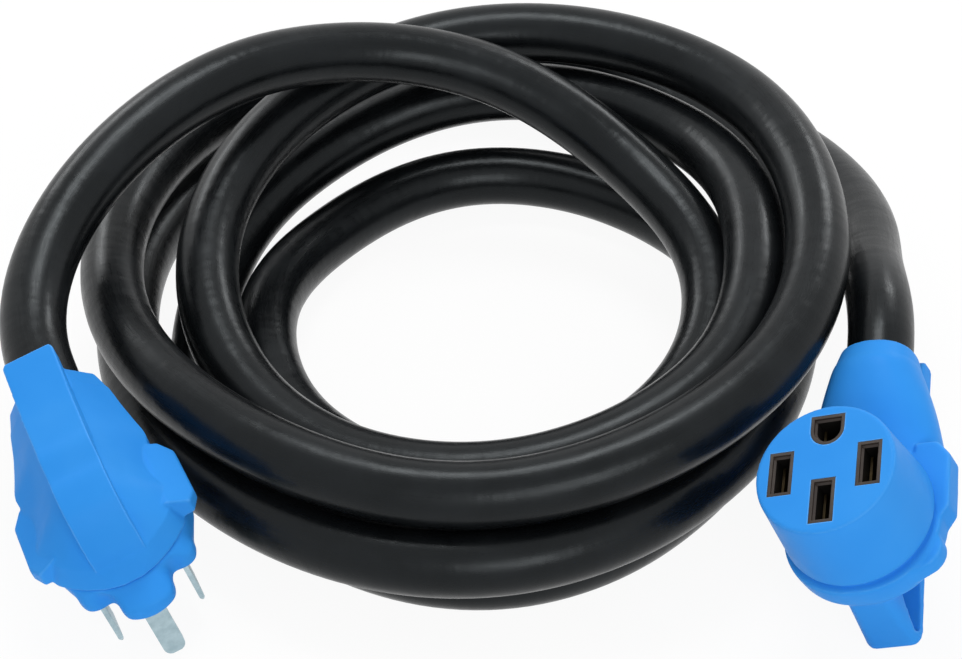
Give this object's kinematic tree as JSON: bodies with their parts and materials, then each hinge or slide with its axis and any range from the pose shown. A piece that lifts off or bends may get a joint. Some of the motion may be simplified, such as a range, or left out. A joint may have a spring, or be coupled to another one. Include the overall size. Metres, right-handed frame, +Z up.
{
  "type": "shore power cord",
  "caption": "Coiled heavy four-core power cable with a right-angle blade plug on one end and a right-angle socket connector with a grab handle on the other.",
  "frame": {"origin": "on the surface the cord rests on, below the middle of the box around the plug and the connector", "axes": "+X from the plug to the connector, +Y from the ends towards the back of the coil, +Z up"},
  "size_m": [0.3436, 0.3687, 0.1066],
  "materials": {
    "blue_plastic": "satin moulded vinyl, sky blue",
    "dark_plastic": "matt, brown-black",
    "jacket": "satin black cable jacket",
    "plated_metal": "nickel plate",
    "brass": "stamped sheet",
    "black_insulation": "smooth",
    "red_insulation": "smooth",
    "white_insulation": "smooth",
    "green_insulation": "smooth"
  },
  "bodies": {
    "root": {"plug_body": "blue_plastic", "plug_face": "blue_plastic", "plug_hot_left_blade": "plated_metal", "plug_hot_left_core": "black_insulation", "plug_hot_right_blade": "plated_metal", "plug_hot_right_core": "red_insulation", "plug_neutral_blade": "plated_metal", "plug_neutral_core": "white_insulation", "plug_ground_pin": "plated_metal", "plug_ground_core": "green_insulation", "connector_body": "blue_plastic", "connector_contact_block": "dark_plastic", "connector_hot_left_contact": "brass", "connector_hot_left_core": "black_insulation", "connector_hot_right_contact": "brass", "connector_hot_right_core": "red_insulation", "connector_neutral_contact": "brass", "connector_neutral_core": "white_insulation", "connector_ground_contact": "brass", "connector_ground_core": "green_insulation", "cable_coil": "jacket", "cable_lead_plug": "jacket", "cable_lead_connector": "jacket"}
  },
  "joints": []
}
